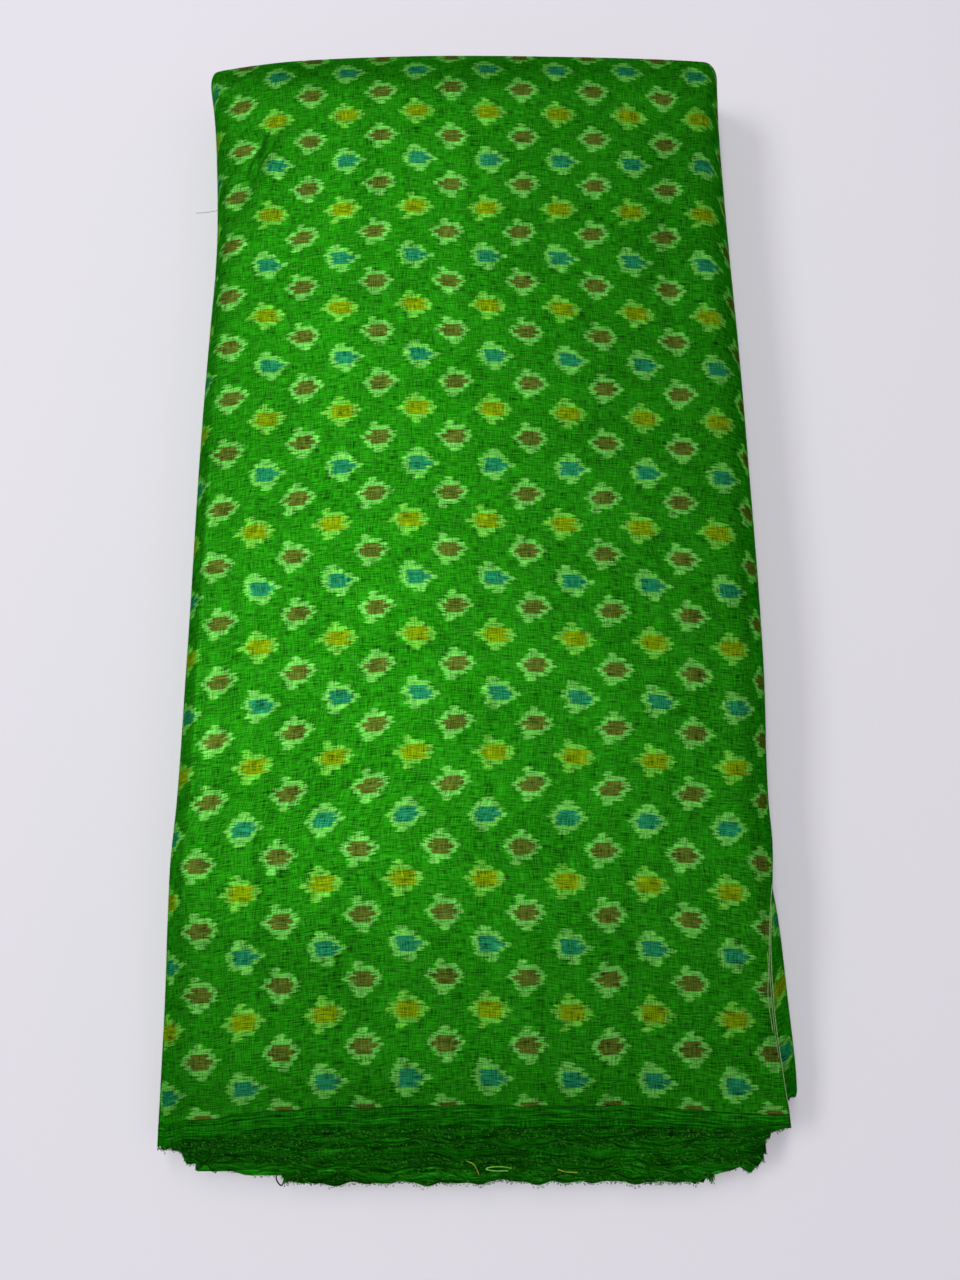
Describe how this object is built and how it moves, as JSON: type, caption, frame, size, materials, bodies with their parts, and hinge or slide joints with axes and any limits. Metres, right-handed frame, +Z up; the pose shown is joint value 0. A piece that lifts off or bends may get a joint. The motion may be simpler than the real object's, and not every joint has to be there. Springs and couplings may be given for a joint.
{
  "type": "bolt of ikat silk fabric",
  "caption": "Long flat bolt of ikat-dyed silk cloth, doubled lengthwise with its selvedges together and wound flat, with the selvedges of its inner turns standing further out.",
  "frame": {"origin": "centre of the bounding box's base, on the surface that the bolt lies on", "axes": "+X across the bolt to the right, +Y from the selvedge end to the doubled end, +Z up"},
  "size_m": [0.297, 0.572, 0.05],
  "materials": {
    "ikat_silk": "soft silk sheen on a slubby plain weave"
  },
  "bodies": {
    "root": {"wound_cloth": "ikat_silk"}
  },
  "joints": []
}
